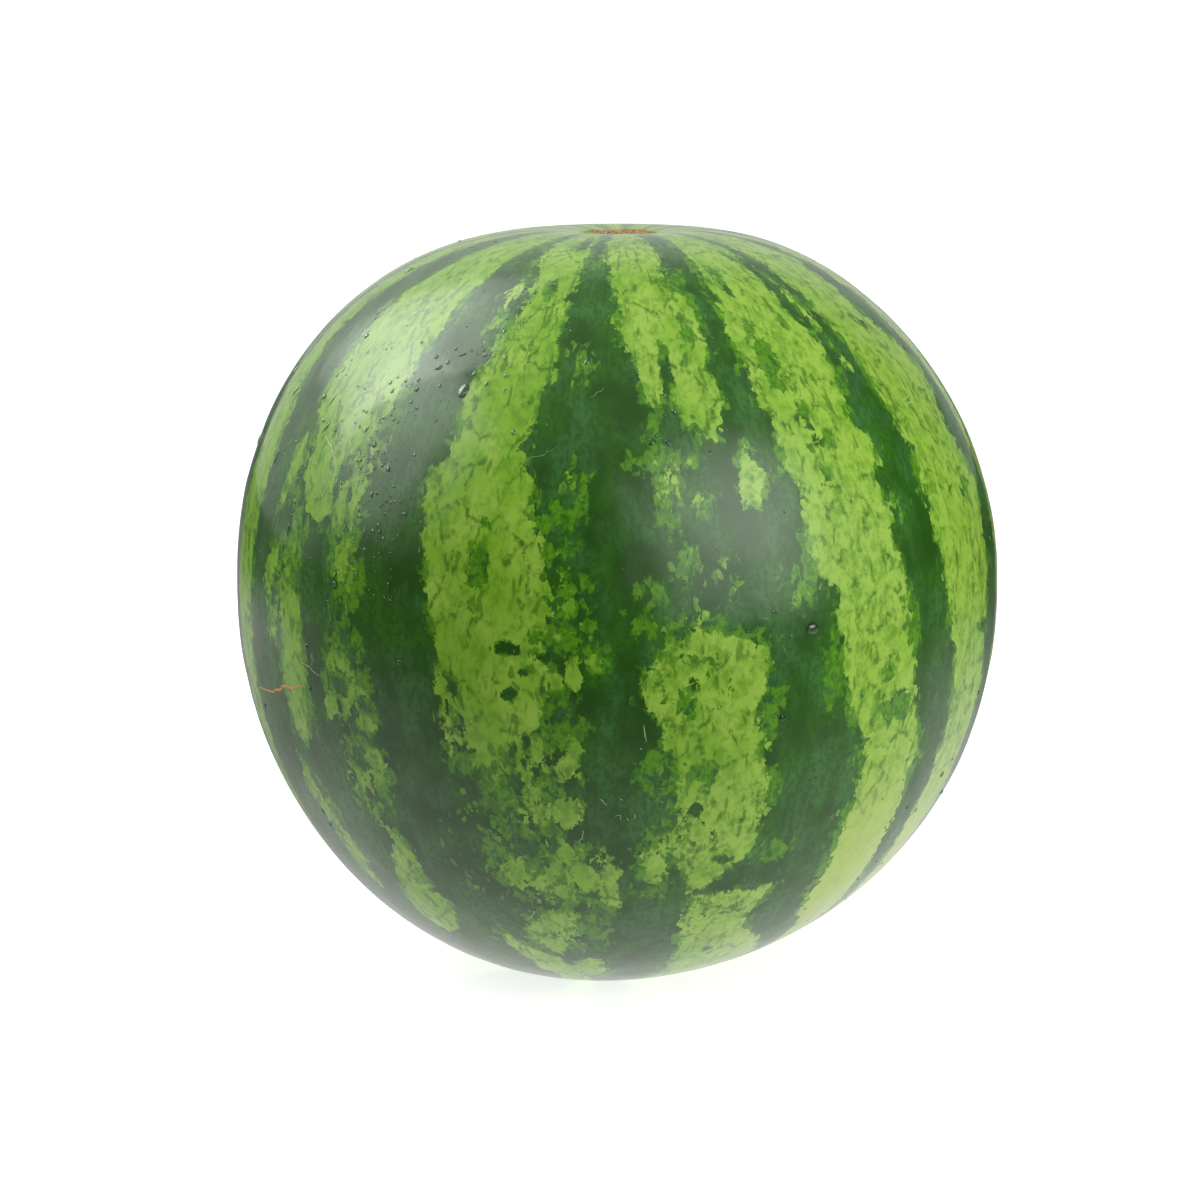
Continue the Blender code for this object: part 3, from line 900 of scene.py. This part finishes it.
# each is a list of longitude and latitude, with the half width of the mark in millimetres
scratchPaths = {
    "brownScratch": [
        ([(-68.9, -12.7), (-66.0, -12.6), (-62.8, -12.2), (-60.9, -11.7), (-59.2, -11.0),
          (-57.7, -10.4), (-56.0, -10.6), (-54.4, -10.2), (-52.8, -9.6)], 0.60),
    ],
    "paleScratches": [
        ([(-52.4, -5.9), (-50.0, -6.6), (-47.5, -7.6)], 0.12),
        ([(-53.6, 27.2), (-52.4, 26.4), (-50.2, 25.4), (-48.6, 23.9), (-47.6, 22.4), (-47.0, 20.4)], 0.28),
        ([(3.7, -10.7), (4.0, -12.0), (4.2, -13.3)], 0.17),
        ([(3.3, -14.1), (3.5, -14.4)], 0.24),
        ([(56.7, 31.7), (58.8, 32.0), (60.8, 32.6)], 0.18),
        ([(57.2, 31.0), (60.5, 31.5)], 0.16),
        ([(-5.2, -27.3), (-5.3, -28.6), (-5.9, -29.6)], 0.15),
        ([(-2.4, -22.0), (-1.9, -22.6), (-1.3, -22.9)], 0.12),
        ([(0.5, -21.8), (1.0, -22.3)], 0.11),
        ([(-0.2, -25.0), (0.3, -24.6), (0.8, -24.9), (0.5, -25.5)], 0.12),
        ([(1.5, -25.1), (2.0, -25.6)], 0.12),
        ([(2.5, -24.5), (2.9, -24.9), (2.6, -25.3)], 0.13),
        ([(124.0, 12.0), (128.0, 10.5), (133.0, 10.9)], 0.22),
        ([(196.0, -20.0), (198.5, -24.0), (199.2, -29.0)], 0.24),
        ([(238.0, 25.0), (244.0, 22.5), (251.0, 22.0)], 0.30),
    ],
    "faintScratches": [
        ([(-15.2, 25.3), (-13.0, 26.0), (-11.1, 26.5), (-8.7, 27.8)], 0.13),
        ([(-3.7, 35.2), (-2.4, 36.1), (-1.2, 36.8)], 0.12),
        ([(21.8, 6.5), (23.2, 7.9), (24.4, 8.6)], 0.12),
        ([(20.4, 3.9), (21.4, 3.3)], 0.13),
        ([(13.2, 13.0), (16.5, 15.6), (19.6, 17.4)], 0.08),
        ([(20.5, 16.5), (22.0, 19.5)], 0.08),
    ],
    "darkScratches": [
        ([(-0.4, 33.5), (0.8, 31.9), (2.0, 30.4), (3.1, 29.2)], 0.34),
        ([(160.0, 30.0), (163.0, 27.5), (165.0, 24.0)], 0.30),
    ],
}
# finish, its colour and roughness, and how much of the half width stands above the rind
scratchFinish = {
    "brownScratch": ("healedCork", "c28650", 0.6, 0.42),
    "paleScratches": ("healedSkin", "a9bb8c", 0.5, 0.5),
    "faintScratches": ("faintSkin", "6f9462", 0.5, 0.4),
    "darkScratches": ("bruisedSkin", "24402f", 0.5, 0.25),
}
scratchForm = {
    "steps": 5,  # for each part of a path
    "endGirth": 0.35,  # share of the width that is left at the ends
    "unevenness": 0.25,
    "sides": 7,
}


def makeScratches(name):
    # thin ridges that follow the rind
    finish, colour, roughness, stand = scratchFinish[name]
    material = plainMaterial(finish, {"Base Color": tint(colour), "Roughness": roughness})
    endGirth = scratchForm["endGirth"]
    places, edges, girths = [], [], []
    for path, half in scratchPaths[name]:
        spots = np.array(path, dtype=float)
        steps = np.linspace(0, len(spots) - 1, (len(spots) - 1) * scratchForm["steps"] + 1)
        for number, step in enumerate(steps):
            longitude = np.interp(step, range(len(spots)), spots[:, 0])
            latitude = np.interp(step, range(len(spots)), spots[:, 1])
            taper = endGirth + (1.0 - endGirth) * math.sin(math.pi * number / (len(steps) - 1))
            uneven = 1.0 + scratchForm["unevenness"] * math.sin(number * 2.3 + half * 40.0)
            girth = half * taper * uneven
            places.append(rind.spot(longitude, latitude, girth * (stand - 1.0))[0])
            girths.append(girth * toMetres)
            if number:
                edges.append((len(places) - 2, len(places) - 1))
    start = emptyStart(name + "Start", places, edges)
    start.data.attributes.new("girth", "FLOAT", "POINT").data.foreach_set("value", girths)

    def drawScratches(plan, given, size):
        girth = plan.add("GeometryNodeInputNamedAttribute", {"data_type": "FLOAT"}, {"Name": "girth"})
        line = plan.add("GeometryNodeMeshToCurve", {}, {0: given})
        values = {"Resolution": size["sides"], "Radius": 1.0}
        ring = plan.add("GeometryNodeCurvePrimitiveCircle", {}, values)
        values = {"Curve": line, "Profile Curve": ring, "Scale": girth, "Fill Caps": True}
        return plan.finished(plan.add("GeometryNodeCurveToMesh", {}, values), material)

    newNodeModifier(name + "Form", start, {"sides": scratchForm["sides"]}, drawScratches)
    piece = madePlain(name, start)
    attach(piece, "root")
    print(name + ":", len(scratchPaths[name]))


for name in scratchPaths:
    makeScratches(name)


# Room and light

studio = {
    "middle": 0.1295,  # height of the fruit's widest level, which camera and lamps aim at
    "elevation": 9.5,
    "distance": 1.25,
    "lens": 113.6,
    "shiftX": -0.01375,
    "shiftY": -0.01683,
}
floorLook = {
    "shown": 0.80,  # what the camera sees; further off, where the lamps add nothing, shownFar
    "shownFar": 1.0,
    "farReach": (0.3, 2.2),
    "near": 1.10,  # what the fruit gets from a bright pool in front of it and under it
    "far": 0.06,
    "poolMiddle": (-0.10, 0.10),
    "poolSquash": 0.55,
    "poolReach": (0.08, 0.50),
    "mirrored": 0.78,  # share of the floor's light that shows as a reflection
    "mirroredBehind": 0.25,
    "patch": 0.6,  # a bright patch in the reflection, at the left
    "patchPlace": (-0.62, 0.34, 0.0),
    "patchSize": 0.30,
}
roomGlow = {
    "all": 0.03,
    "behind": 0.60,
    "above": 0.25,
    "behindWay": (-0.35, 0.94),
}


def makeFloor():
    # white to look at, and less bright to the fruit than to the camera
    bpy.ops.mesh.primitive_plane_add(size=60.0, location=(0.0, 0.0, 0.0))
    floor = bpy.context.object
    floor.name = "floor"
    material = bpy.data.materials.new("whiteFloor")
    plan = clearedPlan(material)
    seen = plan.add("ShaderNodeLightPath", {}, {}, "Is Camera Ray")
    mirrored = seen.also("Is Glossy Ray")
    whole = plan.add("ShaderNodeTexCoord", {}, {}, "Object")
    place = plan.parts(whole)
    poolX, poolY = floorLook["poolMiddle"]
    forward = plan.smaller(place.also("Y") - poolY, 0.0)
    away = (forward ** 2.0 + ((place - poolX) * floorLook["poolSquash"]) ** 2.0) ** 0.5
    glow = (1.0 - plan.rise(away, *floorLook["poolReach"])) * floorLook["near"] + floorLook["far"]
    # in mirror images the floor is dim behind the fruit, but for the bright patch
    behind = plan.rise(place.also("Y") - place * 0.5, -0.05, 0.30)
    kept = floorLook["mirrored"] - behind * (floorLook["mirrored"] - floorLook["mirroredBehind"])
    glow = glow * (1.0 - mirrored * (1.0 - kept))
    toPatch = plan.length(whole - floorLook["patchPlace"])
    glow = glow + mirrored * plan.bell(toPatch, floorLook["patchSize"]) * floorLook["patch"]
    further = plan.rise(plan.length(whole), *floorLook["farReach"])
    shown = floorLook["shown"] + further * (floorLook["shownFar"] - floorLook["shown"])
    values = {
        "Base Color": plan.mix(seen, (0.02, 0.02, 0.02, 1.0), (0.55, 0.55, 0.55, 1.0)),
        "Roughness": 0.8,
        "Specular IOR Level": 0.0,
        "Emission Color": (1.0, 1.0, 1.0, 1.0),
        "Emission Strength": glow + seen * (shown - glow),
    }
    surface = plan.add("ShaderNodeBsdfPrincipled", {}, values)
    plan.add("ShaderNodeOutputMaterial", {}, {"Surface": surface})
    floor.data.materials.append(material)


def makeRoom():
    # white to look at; what it throws on the fruit is dim in front and brighter above and behind
    world = bpy.data.worlds.new("whiteRoom")
    bpy.context.scene.world = world
    plan = clearedPlan(world)
    way = plan.parts(plan.add("ShaderNodeTexCoord", {}, {}, "Generated"))
    wayX, wayY = roomGlow["behindWay"]
    behind = plan.rise(way.also("Y") * wayY + way * wayX, 0.3, 0.85) * roomGlow["behind"]
    above = plan.rise(way.also("Z"), 0.3, 1.0) * roomGlow["above"]
    glow = behind + above + roomGlow["all"]
    seen = plan.add("ShaderNodeLightPath", {}, {}, "Is Camera Ray")
    values = {"Color": (1.0, 1.0, 1.0, 1.0), "Strength": plan.larger(glow, seen)}
    light = plan.add("ShaderNodeBackground", {}, values)
    plan.add("ShaderNodeOutputWorld", {}, {"Surface": light})


softLights = {  # azimuth to the right of the camera, elevation, distance, width, height, brightness
    "leftHigh": (-122.0, 45.0, 1.3, 1.00, 1.05, 4.35),
    "leftLow": (-85.0, 30.0, 1.4, 1.35, 1.25, 3.0),
    "rightWide": (40.0, 21.0, 1.4, 2.00, 1.36, 1.55),
    "rightCore": (40.0, 23.0, 1.3, 1.30, 1.42, 2.9),
    "rightFill": (76.0, 2.0, 1.3, 0.80, 0.80, 4.0),
    "frontFill": (24.0, 8.0, 1.3, 0.70, 0.40, 1.3),
    "topFill": (0.0, 78.0, 1.3, 0.80, 0.80, 2.0),
}
# how each light dims towards its right, left, bottom and top, as seen from the fruit; the others are even
lightFades = {
    "leftHigh": (0.6, 0.1, 0.5, 0.35),
    "leftLow": (0.8, 0.7, 0.8, 0.3),
    "rightWide": (0.7, 0.9, 0.6, 0.6),
    "rightCore": (1.5, 1.5, 1.5, 1.5),
}
lightTints = {"rightWide": (0.95, 1.0, 0.94), "rightCore": (0.95, 1.0, 0.94)}
unmirrored = ("rightFill", "frontFill", "topFill")


def aimed(name, data, azimuth, elevation, distance):
    # a lamp or camera that looks at the fruit's middle
    side, up = math.radians(azimuth), math.radians(elevation)
    away = Vector((math.sin(side) * math.cos(up), -math.cos(side) * math.cos(up), math.sin(up)))
    thing = bpy.data.objects.new(name, data)
    thing.location = Vector((0.0, 0.0, studio["middle"])) + away * distance
    thing.rotation_euler = away.to_track_quat("Z", "Y").to_euler()
    bpy.context.scene.collection.objects.link(thing)
    return thing


def makeLights():
    for name, (azimuth, elevation, distance, width, height, bright) in softLights.items():
        light = bpy.data.lights.new(name, "AREA")
        light.shape = "RECTANGLE"
        light.size = width
        light.size_y = height
        light.energy = bright * math.pi * width * height
        light.color = lightTints.get(name, (1.0, 1.0, 1.0))
        if name in lightFades:
            plan = clearedPlan(light)
            share = plan.parts(plan.add("ShaderNodeNewGeometry", {}, {}, "Parametric"))
            glow = 1.0
            sides = (share, 1.0 - share, share.also("Y"), 1.0 - share.also("Y"))
            for power, opposite, side in zip(lightFades[name], (1, 0, 3, 2), sides):
                peak = power / (power + lightFades[name][opposite])
                glow = glow * (side / peak) ** power
            lit = plan.add("ShaderNodeEmission", {}, {"Strength": glow})
            plan.add("ShaderNodeOutputLight", {}, {0: lit})
        lamp = aimed(name, light, azimuth, elevation, distance)
        lamp.visible_camera = False
        lamp.visible_glossy = name not in unmirrored


def makeCamera():
    data = bpy.data.cameras.new("photoView")
    data.lens = studio["lens"]
    data.sensor_width = 36.0
    data.shift_x = studio["shiftX"]
    data.shift_y = studio["shiftY"]
    data.clip_start = 0.01
    data.clip_end = 100.0
    camera = aimed("photoView", data, 0.0, studio["elevation"], studio["distance"])
    bpy.context.scene.camera = camera


makeFloor()
makeRoom()
makeLights()
makeCamera()
bpy.context.scene.view_settings.view_transform = "Standard"
print("room, lights and camera: done")
